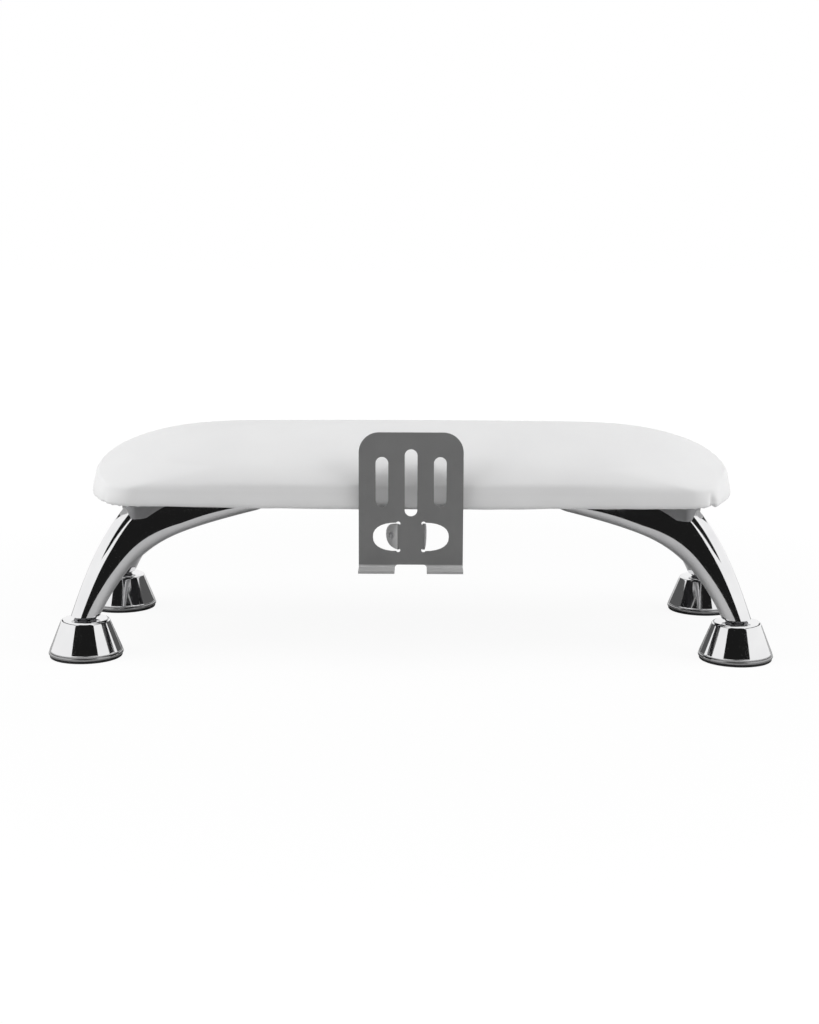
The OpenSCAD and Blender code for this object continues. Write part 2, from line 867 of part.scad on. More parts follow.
board();
foam();
cover();
dust_cover();
staples();
leg(LEFT, FRONT);  // leg_front_left
leg(RIGHT, FRONT);  // leg_front_right
leg(LEFT, BACK);  // leg_back_left
leg(RIGHT, BACK);  // leg_back_right
leg_screws();
leg_washers();
foot_cup(LEFT, FRONT);  // foot_cup_front_left
foot_cup(RIGHT, FRONT);  // foot_cup_front_right
foot_cup(LEFT, BACK);  // foot_cup_back_left
foot_cup(RIGHT, BACK);  // foot_cup_back_right
foot_core(LEFT, FRONT);  // foot_core_front_left
foot_core(RIGHT, FRONT);  // foot_core_front_right
foot_core(LEFT, BACK);  // foot_core_back_left
foot_core(RIGHT, BACK);  // foot_core_back_right
foot_pad(LEFT, FRONT);  // foot_pad_front_left
foot_pad(RIGHT, FRONT);  // foot_pad_front_right
foot_pad(LEFT, BACK);  // foot_pad_back_left
foot_pad(RIGHT, BACK);  // foot_pad_back_right
foot_stud(LEFT, FRONT);  // foot_stud_front_left
foot_stud(RIGHT, FRONT);  // foot_stud_front_right
foot_stud(LEFT, BACK);  // foot_stud_back_left
foot_stud(RIGHT, BACK);  // foot_stud_back_right
phone_plate();
holder_bracket();
hinge_pin();
hinge_washers();
bracket_screws();
bracket_inserts();
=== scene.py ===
"""The looks of the manicure hand rest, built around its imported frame. All sizes are in metres."""

import math

import bmesh
import bpy
import numpy as np
from mathutils import Matrix, Vector, noise

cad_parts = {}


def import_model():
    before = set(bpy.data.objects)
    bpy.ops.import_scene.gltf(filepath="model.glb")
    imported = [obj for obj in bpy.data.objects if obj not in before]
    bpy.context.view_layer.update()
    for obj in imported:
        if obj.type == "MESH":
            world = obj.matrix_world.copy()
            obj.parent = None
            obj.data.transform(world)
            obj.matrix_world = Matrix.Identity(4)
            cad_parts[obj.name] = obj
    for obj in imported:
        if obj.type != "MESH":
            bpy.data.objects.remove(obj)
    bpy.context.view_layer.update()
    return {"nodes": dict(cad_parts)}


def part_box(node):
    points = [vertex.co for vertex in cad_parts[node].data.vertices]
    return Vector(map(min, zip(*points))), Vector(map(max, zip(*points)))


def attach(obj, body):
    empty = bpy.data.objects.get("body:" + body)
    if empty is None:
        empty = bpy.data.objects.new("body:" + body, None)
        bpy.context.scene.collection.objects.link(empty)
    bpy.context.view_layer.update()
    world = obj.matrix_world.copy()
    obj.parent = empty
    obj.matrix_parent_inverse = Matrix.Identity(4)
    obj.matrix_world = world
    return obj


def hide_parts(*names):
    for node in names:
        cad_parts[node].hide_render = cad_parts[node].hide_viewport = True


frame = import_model()
MM = 0.001

# Sizes read from the frame
COVER_LOW, COVER_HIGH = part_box("cover")
FOAM_LOW, FOAM_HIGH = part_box("foam")
CUP_LOW, CUP_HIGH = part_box("foot_cup_front_left")
HALF_LENGTH = COVER_HIGH.x
HALF_DEPTH = COVER_HIGH.y
COVER_Z = COVER_LOW.z
CROWN_Z = COVER_HIGH.z
CREASE_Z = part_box("board")[1].z
UNDER_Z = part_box("dust_cover")[0].z
LEG_END_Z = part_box("leg_front_left")[0].z
FOOT_X = -(CUP_LOW.x + CUP_HIGH.x) / 2
FOOT_Y = -(CUP_LOW.y + CUP_HIGH.y) / 2
FOOT_R = (CUP_HIGH.x - CUP_LOW.x) / 2
FOOT_H = CUP_HIGH.z

# Form of the cushion, as in the part's source
COVER_T = 1 * MM
END_BOW = 21 * MM
SIDE_BOW = 6 * MM
CORNER_R = 14 * MM
CROWN_REACH = 95 * MM
EDGE_TUCK = 3 * MM
HEM_W = 22 * MM
END_POWER = 2.3
SIDE_POWER = 1.9
END_ROUND_Z = COVER_Z + 0.29 * (CREASE_Z - COVER_Z)
CORNER_GROWTH = 2.6
CORNER_FULL = 0.9
CREASE_INSET = 0.8 * MM

# Form of the cushion that only the visible cover has
TUCK_H = 2.2 * MM
KINK_INSET = 2.2 * MM
KINK_END_INSET = 4.5 * MM
KINK_REACH = 4.5 * MM
SWELL_LIMIT = 2.0 * MM
CLOTH_STEPS = 20

# Form of a leg, as in the part's source
LEG_YAW = math.radians(25)
LEG_REACH = 120 * MM
LEG_RISE = UNDER_Z - LEG_END_Z
LEG_SPINE = np.array([[0, 0], [0.242, 1.01], [0.567, 1.185], [1, 0.94]]) * (LEG_REACH, LEG_RISE)
LEG_DEPTHS = np.array([15.8, 24, 60.4, 6]) / 2 * MM
LEG_WIDTHS = np.array([16.9, 16.9, 28, 16]) / 2 * MM
LEG_START = -0.06
NOSE_START = 0.93
NOSE_END = 1.002
PAD_START = 26 * MM
PAD_LENGTH = 31 * MM
PAD_W = 21 * MM
PAD_H = 8 * MM
PAD_CORNER_R = 5 * MM

# Form of a leg that only the visible one has
SECTION_POWER_FOOT = 2.15
SECTION_POWER_FLANGE = 3.8
PAD_DRAFT = 0.6 * MM

# Form of a foot, as in the part's source
CUP_T = 1.2 * MM
SHOULDER_R = 2.4 * MM
SHOULDER_X = 12.7 * MM
BEAD_R = 1.3 * MM
PAD_RIM_H = 1.2 * MM
PAD_PLUG_H = 1.4 * MM
BEAD_STEPS = 14
CONE_TURN = math.radians(22.5)
STUD_R = 3 * MM
STUD_HOLE_R = 3.4 * MM
STUD_HEX = 12 * MM
THREAD_PITCH = 1 * MM

PLATE_GAP = 1.5 * MM

CORNERS = [(side, end) for side in ("left", "right") for end in ("front", "back")]


def sign_of(word):
    return -1 if word in ("left", "front") else 1


def smooth(low, high, x):
    """0 below low and 1 above high, with an even ease between them."""
    t = np.clip((np.asarray(x, float) - low) / (high - low), 0, 1)
    return t * t * (3 - 2 * t)


# Meshes

def new_piece(name, vertices, faces, sharp=35, second=0):
    """A piece whose last faces, as many as second says, use its second material."""
    mesh = bpy.data.meshes.new(name)
    mesh.from_pydata([tuple(v) for v in vertices], [], [tuple(f) for f in faces])
    for k in range(len(faces) - second, len(faces)):
        mesh.polygons[k].material_index = 1
    return dress(bpy.data.objects.new(name, mesh), sharp)


def dress(piece, sharp=35):
    """Closes a mesh up, faces it outwards and shades it smooth between its sharp edges."""
    if piece.name not in bpy.context.scene.collection.objects:
        bpy.context.scene.collection.objects.link(piece)
    bm = bmesh.new()
    bm.from_mesh(piece.data)
    bmesh.ops.remove_doubles(bm, verts=bm.verts, dist=1e-6)
    bmesh.ops.recalc_face_normals(bm, faces=bm.faces)
    bm.to_mesh(piece.data)
    bm.free()
    piece.data.shade_smooth()
    piece.data.set_sharp_from_angle(angle=math.radians(sharp))
    return piece


def strip(first, second, count, closed=True):
    """Faces between two rings, given by the index of each ring's first point."""
    steps = count if closed else count - 1
    return [
        (first + i, first + (i + 1) % count, second + (i + 1) % count, second + i)
        for i in range(steps)
    ]


def tube_faces(rings, count, closed=False):
    last = rings if closed else rings - 1
    return [f for k in range(last) for f in strip(k * count, (k + 1) % rings * count, count)]


def lathe(profile, steps=96, closed=True):
    """Vertices and faces of a profile of (radius, height) turned about Z."""
    turns = np.arange(steps) * 2 * math.pi / steps
    rings = [
        np.column_stack([r * np.cos(turns), r * np.sin(turns), np.full(steps, z)])
        for r, z in profile
    ]
    return np.vstack(rings), tube_faces(len(profile), steps, closed)


def arc(cx, cy, r, start, end, steps):
    turns = np.linspace(math.radians(start), math.radians(end), steps + 1)
    return [(cx + r * math.cos(t), cy + r * math.sin(t)) for t in turns]


def rounded_rectangle(length, width, r, steps=8):
    """Outline about its own middle."""
    turns = np.linspace(0, math.pi / 2, steps + 1)
    corner = np.column_stack([r * np.cos(turns), r * np.sin(turns)])
    points = []
    for k, (sx, sy) in enumerate([(1, 1), (-1, 1), (-1, -1), (1, -1)]):
        turn = np.array([[math.cos(k * math.pi / 2), math.sin(k * math.pi / 2)],
                         [-math.sin(k * math.pi / 2), math.cos(k * math.pi / 2)]])
        points.append(corner @ turn + (sx * (length / 2 - r), sy * (width / 2 - r)))
    return np.vstack(points)


def rounded_copy(node, width, sharp=30, steps=2, flat_area=12 * MM * MM):
    """A CAD node's shape with its sharp edges rounded, as a piece that replaces it.

    The rounded edges use the piece's second material; on the phone plate that is a lighter paint, a
    painted highlight along the edges.
    """
    mesh = bpy.data.meshes.new(node + "_shown")
    bm = bmesh.new()
    bm.from_mesh(frame["nodes"][node].data)
    bmesh.ops.remove_doubles(bm, verts=bm.verts, dist=1e-6)
    bmesh.ops.dissolve_limit(bm, angle_limit=math.radians(1), verts=bm.verts, edges=bm.edges)
    corners = [
        e for e in bm.edges
        if len(e.link_faces) == 2 and e.calc_face_angle(0) > math.radians(sharp)
    ]
    bmesh.ops.bevel(
        bm, geom=corners, offset=width, segments=steps, profile=0.5,
        affect="EDGES", clamp_overlap=True, material=1,
    )
    planes = {}
    for face in bm.faces:
        n = face.normal
        plane = (*(round(c, 2) for c in n), round(n.dot(face.verts[0].co) / MM, 1))
        planes.setdefault(plane, []).append(face)
    for faces in planes.values():
        flat = sum(face.calc_area() for face in faces) > flat_area
        for face in faces:
            face.smooth = not flat
    bm.to_mesh(mesh)
    bm.free()
    piece = bpy.data.objects.new(node + "_shown", mesh)
    bpy.context.scene.collection.objects.link(piece)
    return piece


def fit(piece, body, material, slot, *nodes):
    """Gives a piece its material and its body, and hides the CAD nodes that it stands for."""
    piece.data.materials.append(material)
    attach(piece, body)
    if nodes:
        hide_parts(*nodes)
    return piece


# Materials

class Paint:
    """A Principled material and short ways to add texture to it."""

    def __init__(self, name, color, roughness, metallic=0.0, specular=0.5):
        self.material = bpy.data.materials.new(name)
        self.material.use_nodes = True
        self.tree = self.material.node_tree
        self.shader = self.tree.nodes["Principled BSDF"]
        self.shader.inputs["Base Color"].default_value = (*color, 1)
        self.shader.inputs["Roughness"].default_value = roughness
        self.shader.inputs["Metallic"].default_value = metallic
        self.shader.inputs["Specular IOR Level"].default_value = specular
        self.place = self.node("ShaderNodeTexCoord").outputs["Object"]
        self.last_bump = None

    def node(self, kind, **values):
        made = self.tree.nodes.new(kind)
        for key, value in values.items():
            setattr(made, key, value)
        return made

    def link(self, output, target):
        self.tree.links.new(output, target)

    def noise(self, size, detail=3.0, stretch=(1, 1, 1), distortion=0.0):
        """Noise whose features are about size metres wide."""
        mapping = self.node("ShaderNodeMapping")
        mapping.inputs["Scale"].default_value = stretch
        self.link(self.place, mapping.inputs["Vector"])
        made = self.node("ShaderNodeTexNoise")
        made.inputs["Scale"].default_value = 1 / size
        made.inputs["Detail"].default_value = detail
        made.inputs["Distortion"].default_value = distortion
        self.link(mapping.outputs["Vector"], made.inputs["Vector"])
        return made.outputs["Fac"]

    def cells(self, size, feature="DISTANCE_TO_EDGE"):
        made = self.node("ShaderNodeTexVoronoi", feature=feature)
        made.inputs["Scale"].default_value = 1 / size
        warp = self.node("ShaderNodeTexNoise")
        warp.inputs["Scale"].default_value = 0.6 / size
        self.link(self.place, warp.inputs["Vector"])
        shift = self.node("ShaderNodeVectorMath", operation="MULTIPLY_ADD")
        self.link(warp.outputs["Color"], shift.inputs[0])
        shift.inputs[1].default_value = (0.7 * size,) * 3
        self.link(self.place, shift.inputs[2])
        self.link(shift.outputs["Vector"], made.inputs["Vector"])
        return made.outputs["Distance"]

    def spread(self, value, low, high, start=0.3, stop=0.7):
        """Maps a texture's start..stop to low..high."""
        made = self.node("ShaderNodeMapRange")
        made.inputs["From Min"].default_value = start
        made.inputs["From Max"].default_value = stop
        made.inputs["To Min"].default_value = low
        made.inputs["To Max"].default_value = high
        self.link(value, made.inputs["Value"])
        return made.outputs["Result"]

    def tint(self, value, first, second, start=0.3, stop=0.7):
        ramp = self.node("ShaderNodeValToRGB")
        ramp.color_ramp.elements[0].position = start
        ramp.color_ramp.elements[0].color = (*first, 1)
        ramp.color_ramp.elements[1].position = stop
        ramp.color_ramp.elements[1].color = (*second, 1)
        self.link(value, ramp.inputs["Fac"])
        self.link(ramp.outputs["Color"], self.shader.inputs["Base Color"])

    def rough(self, value, low, high, start=0.3, stop=0.7):
        self.link(self.spread(value, low, high, start, stop), self.shader.inputs["Roughness"])

    def bump(self, height, strength, distance):
        made = self.node("ShaderNodeBump")
        made.inputs["Strength"].default_value = strength
        made.inputs["Distance"].default_value = distance
        self.link(height, made.inputs["Height"])
        if self.last_bump:
            self.link(self.last_bump, made.inputs["Normal"])
        self.last_bump = made.outputs["Normal"]
        self.link(self.last_bump, self.shader.inputs["Normal"])


def leatherette():
    """Smooth white upholstery vinyl: fine pebble grain and a soft, uneven sheen."""
    paint = Paint("leatherette", (0.86, 0.86, 0.86), 0.46, specular=0.25)
    paint.tint(paint.noise(45 * MM, 4), (0.845, 0.845, 0.848), (0.875, 0.875, 0.876))
    paint.rough(paint.noise(9 * MM, 3), 0.42, 0.52)
    paint.bump(paint.cells(0.9 * MM), 0.22, 0.12 * MM)
    paint.bump(paint.noise(0.35 * MM, 2), 0.10, 0.05 * MM)
    paint.bump(paint.noise(30 * MM, 2), 0.12, 1.2 * MM)
    return paint.material


def chrome(name, waviness, shade=1.0):
    """Polished chrome plate: slight waves under the plate and faint polishing haze."""
    # A shade below 1 makes a darker copy of the chrome: a painted dark reflection.
    low = (0.80 * shade, 0.80 * shade, 0.81 * shade)
    high = (0.86 * shade, 0.86 * shade, 0.865 * shade)
    paint = Paint(name, high, 0.05, metallic=1.0)
    paint.tint(paint.noise(20 * MM, 3), low, high)
    paint.rough(paint.noise(3 * MM, 4, (1, 1, 0.3)), 0.03, 0.085)
    paint.bump(paint.noise(7 * MM, 1, (1, 1, 0.5)), waviness, 0.10 * MM)
    paint.bump(paint.noise(0.5 * MM, 2), 0.02, 0.02 * MM)
    return paint.material


def satin_paint(name, low, high):
    """Satin powder coat over sheet metal: fine orange peel, and a slightly uneven shade."""
    paint = Paint(name, low, 0.42, metallic=0.15, specular=0.45)
    paint.tint(paint.noise(12 * MM, 5), low, high)
    paint.rough(paint.noise(4 * MM, 3), 0.36, 0.48)
    paint.bump(paint.noise(0.7 * MM, 2), 0.20, 0.06 * MM)
    return paint.material


def rubber():
    paint = Paint("rubber", (0.022, 0.022, 0.023), 0.7, specular=0.3)
    paint.tint(paint.noise(2 * MM, 4), (0.018, 0.018, 0.019), (0.032, 0.032, 0.034))
    paint.rough(paint.noise(1 * MM, 3), 0.6, 0.8)
    paint.bump(paint.noise(0.4 * MM, 3), 0.35, 0.08 * MM)
    return paint.material


def nylon():
    paint = Paint("nylon", (0.05, 0.05, 0.055), 0.5, specular=0.4)
    paint.tint(paint.noise(5 * MM, 3), (0.045, 0.045, 0.05), (0.06, 0.06, 0.065))
    paint.rough(paint.noise(2 * MM, 3), 0.42, 0.58)
    paint.bump(paint.noise(0.6 * MM, 2), 0.15, 0.05 * MM)
    return paint.material


def bare_metal(name, color, low, high, grain=(1, 1, 12)):
    """Turned or drawn metal with fine tool marks."""
    paint = Paint(name, color, 0.3, metallic=1.0)
    dark = tuple(0.85 * c for c in color)
    paint.tint(paint.noise(6 * MM, 4), dark, color)
    paint.rough(paint.noise(1.2 * MM, 3, grain), low, high)
    paint.bump(paint.noise(0.8 * MM, 2, grain), 0.12, 0.03 * MM)
    return paint.material


def board_wood():
    paint = Paint("board_wood", (0.66, 0.50, 0.32), 0.6)
    paint.tint(paint.noise(16 * MM, 6, (0.08, 1, 1), 0.6), (0.55, 0.39, 0.23), (0.74, 0.59, 0.40))
    paint.rough(paint.noise(6 * MM, 3), 0.5, 0.7)
    paint.bump(paint.noise(1.5 * MM, 4, (0.06, 1, 1)), 0.25, 0.1 * MM)
    return paint.material


def foam_skin():
    paint = Paint("foam_skin", (0.86, 0.80, 0.60), 0.9, specular=0.1)
    # The cells are painted darker along their edges, where the bump below sinks in: painted shade in
    # the pores.
    paint.tint(paint.cells(1.4 * MM), (0.68, 0.62, 0.44), (0.88, 0.83, 0.66), 0.0, 0.3)
    paint.bump(paint.cells(1.4 * MM), 0.6, 0.5 * MM)
    paint.bump(paint.noise(8 * MM, 3), 0.2, 0.8 * MM)
    return paint.material


def dust_cloth():
    """Black non-woven cloth: a bonded pattern of dots over loose fibres."""
    paint = Paint("dust_cloth", (0.03, 0.03, 0.032), 0.9, specular=0.15)
    paint.tint(paint.noise(1.5 * MM, 5, (1, 0.4, 1)), (0.02, 0.02, 0.022), (0.055, 0.055, 0.06))
    paint.bump(paint.cells(1.1 * MM, "F1"), 0.5, 0.15 * MM)
    paint.bump(paint.noise(0.5 * MM, 4, (1, 0.3, 1)), 0.4, 0.1 * MM)
    return paint.material


# Cushion

def quarter(w, power):
    return (1 - np.clip(w, 0, 1) ** power) ** (1 / power)


def outline(a, b, r, steps):
    """A rounded rectangle whose sides bow outwards: columns run round from the right end's middle."""
    end_steps, corner_steps, side_steps = steps
    turns = np.linspace(0, math.pi / 2, corner_steps + 1)
    end = np.column_stack([np.full(end_steps, a), (b - r) * np.arange(end_steps) / end_steps])
    corner = np.column_stack([a - r + r * np.cos(turns), b - r + r * np.sin(turns)])
    along = 1 - np.arange(1, side_steps + 1) / side_steps
    side = np.column_stack([(a - r) * along, np.full(side_steps, b)])
    first = np.vstack([end, corner, side])
    second = (first * (-1, 1))[::-1]
    ring = np.vstack([first[:-1], second[:-1], -first[:-1], -second[:-1]])
    bow_x = 1 - END_BOW / HALF_LENGTH * (ring[:, 1] / b) ** 2
    bow_y = 1 - SIDE_BOW / HALF_DEPTH * (ring[:, 0] / a) ** 2
    return ring * np.column_stack([bow_x, bow_y])


def level(z, inset, steps):
    """The cushion's outline at a height, drawn in by an inset.

    The drawn-in body has its crown at CROWN_Z - inset, so the height has to stay under that.
    """
    end_w = (z - END_ROUND_Z) / (CROWN_Z - inset - END_ROUND_Z)
    a = HALF_LENGTH - inset - CROWN_REACH * (1 - quarter(end_w, END_POWER))
    b = (HALF_DEPTH - inset) * quarter((z - CREASE_Z) / (CROWN_Z - inset - CREASE_Z), SIDE_POWER)
    full = CORNER_FULL * b
    grown = min(1, max(0, (z - CREASE_Z) / (CROWN_Z - CREASE_Z)) * CORNER_GROWTH)
    r = min(full, CORNER_R + (full - CORNER_R) * grown)
    return np.column_stack([outline(a, b, r, steps), np.full(4 * sum(steps), z)])


def crown_rings(inset, rows, steps):
    """Rings over the crease, where the cover leans in at once, and most near the ends."""
    rings = []
    for t in np.linspace(0, 1, rows + 1)[1:]:
        rise = min(math.sin(t * math.pi / 2), 0.9995)
        z = CREASE_Z + rise * (CROWN_Z - inset - CREASE_Z)
        ring = level(z, inset, steps)
        near_end = smooth(95 * MM, 150 * MM, np.abs(ring[:, 0]))
        pull = KINK_INSET + (KINK_END_INSET - KINK_INSET) * near_end
        pull *= (1 - math.exp(-(z - CREASE_Z) / KINK_REACH)) * (1 - t ** 2)
        ring[:, 1] *= 1 - pull / HALF_DEPTH
        rings.append(ring)
    return rings


def wall_rings(steps, tuck_rows, wall_rows):
    """From the tucked bottom edge up to the crease."""
    rings = []
    for t in np.linspace(0, 1, tuck_rows + 1)[:-1]:
        inset = EDGE_TUCK * (1 - math.sin(t * math.pi / 2))
        rings.append(level(COVER_Z + TUCK_H * (1 - math.cos(t * math.pi / 2)), inset, steps))
    for t in np.linspace(0, 1, wall_rows + 1):
        z = COVER_Z + TUCK_H + t * (CREASE_Z - COVER_Z - TUCK_H)
        rings.append(level(z, CREASE_INSET * float(smooth(0, 1, t)), steps))
    return rings


def cap_faces(start, count):
    """Closes a ring by joining each point to the one across the cushion's length."""
    faces = []
    for i in range(count // 2):
        corners = (i, i + 1, count - i - 1, (count - i) % count)
        faces.append(tuple(start + k for k in dict.fromkeys(corners)))
    return faces


def hem_rings(steps, rows):
    insets = np.linspace(HEM_W, EDGE_TUCK, rows + 1)[:-1]
    return [level(COVER_Z, inset, steps) for inset in insets]


def puff(piece, held_below, swell):
    """Lets air pressure fill the crown, with everything below a height held, and caps the swelling."""
    start = np.array([v.co for v in piece.data.vertices])
    pins = piece.vertex_groups.new(name="pins")
    for i, v in enumerate(piece.data.vertices):
        hold = 1 - float(smooth(held_below, held_below + 6 * MM, v.co.z))
        pins.add([i], hold, "REPLACE")
    cloth = piece.modifiers.new("cloth", "CLOTH")
    cloth.settings.vertex_group_mass = "pins"
    cloth.settings.use_pressure = True
    cloth.settings.uniform_pressure_force = 4
    cloth.settings.tension_stiffness = 40
    cloth.settings.bending_stiffness = 2
    cloth.settings.effector_weights.gravity = 0
    cloth.point_cache.frame_start = 1
    cloth.point_cache.frame_end = CLOTH_STEPS
    for step in range(1, CLOTH_STEPS + 1):
        bpy.context.scene.frame_set(step)
    graph = bpy.context.evaluated_depsgraph_get()
    filled = piece.evaluated_get(graph).to_mesh()
    moved = np.array([v.co for v in filled.vertices]) - start
    piece.evaluated_get(graph).to_mesh_clear()
    piece.modifiers.remove(cloth)
    piece.vertex_groups.remove(pins)
    bpy.context.scene.frame_set(1)
    reach = np.linalg.norm(moved, axis=1)
    print("cushion swelled by up to", round(float(reach.max()) / MM, 1), "mm")
    moved *= (np.minimum(reach, swell) / np.maximum(reach, 1e-9))[:, None]
    for v, place in zip(piece.data.vertices, start + moved):
        v.co = place


def subdivide(piece, levels):
    modifier = piece.modifiers.new("subdivision", "SUBSURF")
    modifier.levels = levels
    modifier.render_levels = levels
    graph = bpy.context.evaluated_depsgraph_get()
    made = bpy.data.meshes.new_from_object(piece.evaluated_get(graph))
    piece.modifiers.remove(modifier)
    piece.data = made
    made.name = piece.name


# Place and depth of each pleat
PLEATS = [
    (180.5 * MM, -65 * MM, 1.6 * MM),
    (-185.5 * MM, -65 * MM, 0.8 * MM),
    (180.5 * MM, 65 * MM, 0.8 * MM),
    (-180.5 * MM, 65 * MM, 0.9 * MM),
]


def pleat(points, x, y, depth):
    """One fold in the wall at a corner: a narrow valley with a soft ridge beside it."""
    away = (points[:, 0] - x) * math.copysign(1, x)
    near = np.exp(-(((points[:, 1] - y) / (14 * MM)) ** 2))
    fade = 1 - smooth(CREASE_Z - 9 * MM, CREASE_Z - 1 * MM, points[:, 2])
    lean = away + 0.10 * (points[:, 2] - COVER_Z)
    valley = -np.exp(-((lean / (1.5 * MM)) ** 2))
    ridge = 0.55 * np.exp(-(((lean - 3.4 * MM) / (2.2 * MM)) ** 2))
    return depth * near * fade * (valley + ridge)


def cushion_relief(points):
    """How far each point of the cover stands out: the crease over the board, pleats and slack."""
    x, y, z = points.T
    crease_z = CREASE_Z - 0.5 * MM * smooth(120 * MM, 188 * MM, np.abs(x))
    crease = -0.08 * MM * np.exp(-(((z - crease_z) / (1.3 * MM)) ** 2))
    crease *= 1 - 0.7 * smooth(175 * MM, 196 * MM, np.abs(x))
    wall = 1 - smooth(CREASE_Z - 4 * MM, CREASE_Z + 6 * MM, z)
    low = 1 - smooth(COVER_Z + 1 * MM, COVER_Z + 9 * MM, z)
    slack = np.array([noise.noise(Vector((p[0] * 22, p[1] * 22, p[2] * 30))) for p in points])
    fine = np.array([noise.noise(Vector((p[0] * 70, p[1] * 70, p[2] * 60))) for p in points])
    relief = crease + wall * 0.35 * MM * slack + low * 0.22 * MM * fine
    for place_x, place_y, depth in PLEATS:
        relief += pleat(points, place_x, place_y, depth)
    under = z < COVER_Z + 0.2 * MM
    turn = np.arctan2(np.abs(y) - HALF_DEPTH + 30 * MM, np.abs(x) - HALF_LENGTH + 34 * MM)
    fan = np.maximum(0, np.cos(turn * 22)) ** 4
    at_corner = smooth(150 * MM, 172 * MM, np.abs(x)) * smooth(34 * MM, 46 * MM, np.abs(y))
    relief += np.where(under, 0.45 * MM * fan * at_corner, 0)
    return relief


def push_out(piece, relief):
    mesh = piece.data
    points = np.array([v.co for v in mesh.vertices])
    normals = np.array([v.normal for v in mesh.vertices])
    for v, place in zip(mesh.vertices, points + normals * relief(points)[:, None]):
        v.co = place
    mesh.update()


def cushion_cover(material):
    """The cover as a shell: hem, tucked edge, wall and crown outside, and the same inside."""
    steps = (7, 7, 20)
    swell = SWELL_LIMIT
    rings = hem_rings(steps, 4) + wall_rings(steps, 4, 4)
    crown = crown_rings(0, 20, steps)
    for k, ring in enumerate(crown):
        ring[:, 2] -= swell * float(smooth(0, 0.6, (k + 1) / len(crown)))
    rings += crown
    count = 4 * sum(steps)
    faces = tube_faces(len(rings), count)
    faces += cap_faces((len(rings) - 1) * count, count)
    piece = new_piece("cushion_cover", np.vstack(rings), faces)
    puff(piece, CREASE_Z, swell)
    subdivide(piece, 2)
    push_out(piece, cushion_relief)
    line_shell(piece)
    dress(piece, 50)
    fit(piece, "frame", material, "leatherette", "cover")
    return piece


def line_shell(piece):
    """Gives the cover its thickness, inwards, so that it is a closed shell round the foam."""
    modifier = piece.modifiers.new("thickness", "SOLIDIFY")
    modifier.thickness = COVER_T
    modifier.offset = -1
    graph = bpy.context.evaluated_depsgraph_get()
    made = bpy.data.meshes.new_from_object(piece.evaluated_get(graph))
    piece.modifiers.remove(modifier)
    piece.data = made


def foam_block(material):
    """The foam under the cover: flat on the board, crowned like the cover."""
    steps = (6, 6, 16)
    inset = CROWN_Z - FOAM_HIGH.z + 2 * COVER_T
    base = level(CREASE_Z, inset, steps)
    base[:, 2] = FOAM_LOW.z
    rings = [base] + crown_rings(inset, 16, steps)
    count = 4 * sum(steps)
    faces = tube_faces(len(rings), count)
    faces += cap_faces((len(rings) - 1) * count, count)
    faces += cap_faces(0, count)
    piece = new_piece("foam_block", np.vstack(rings), faces)
    fit(piece, "frame", material, "foam", "foam")
    return piece


def dust_cover(material):
    """The cloth under the board, with a folded edge whose outer rim is drawn up a little."""
    steps = (6, 6, 24)
    fold = 0.2 * MM
    outer, folded = 9 * MM, 16 * MM
    insets = [outer, outer + 0.3 * MM, folded, folded + 0.5 * MM, 20 * MM, 24 * MM]
    rings = []
    for k, inset in enumerate(insets):
        ring = level(CREASE_Z, inset, steps)
        ring[:, 2] = UNDER_Z + (fold if k > 2 else 0)
        rings.append(ring)
    rings[0][:, 2] += 0.15 * MM
    top = [ring.copy() for ring in rings[::-1]]
    for ring in top:
        ring[:, 2] = COVER_Z
    count = 4 * sum(steps)
    faces = tube_faces(len(insets), count)
    faces += cap_faces((len(insets) - 1) * count, count)
    start = len(insets) * count
    faces += [tuple(start + i for i in f) for f in tube_faces(len(insets), count)]
    faces += cap_faces(start, count)
    faces += strip(0, start + (len(insets) - 1) * count, count)
    piece = new_piece("dust_cover_cloth", np.vstack(rings + top), faces, 20)
    fit(piece, "frame", material, "dust_cloth", "dust_cover")
    return piece


# Legs

def curve(p, t):
    u = 1 - t
    return p[0] * u ** 3 + 3 * p[1] * u * u * t + 3 * p[2] * u * t * t + p[3] * t ** 3


def curve_slope(p, t):
    u = 1 - t
    return (p[1] - p[0]) * u * u + 2 * (p[2] - p[1]) * u * t + (p[3] - p[2]) * t * t


def squared(share, t):
    """Round by the foot and squarer along the flange."""
    gain = SECTION_POWER_FLANGE - SECTION_POWER_FOOT
    power = SECTION_POWER_FOOT + gain * float(smooth(0.22, 0.6, t))
    return math.copysign(abs(share) ** (2 / power), share)


def leg_point(t, turn):
    """A point of the horn in the leg's own frame, with X along it from the foot's axis."""
    across, rise = curve(LEG_SPINE, t)
    slope = curve_slope(LEG_SPINE, t)
    along = slope / np.linalg.norm(slope)
    end = math.sqrt(1 - (max(0, t - NOSE_START) / (NOSE_END - NOSE_START)) ** 2)
    depth = curve(LEG_DEPTHS, t) * end * squared(math.cos(turn), t)
    width = curve(LEG_WIDTHS, t) * end * squared(math.sin(turn), t)
    return np.array([across - along[1] * depth, -width, LEG_END_Z + rise + along[0] * depth])


def crossing(turn, z, low, high):
    """Where the side of the horn at a turn passes through a height, between two places along it."""
    above = leg_point(high, turn)[2] > z
    for _ in range(24):
        middle = (low + high) / 2
        if (leg_point(middle, turn)[2] > z) == above:
            high = middle
        else:
            low = middle
    return (low + high) / 2


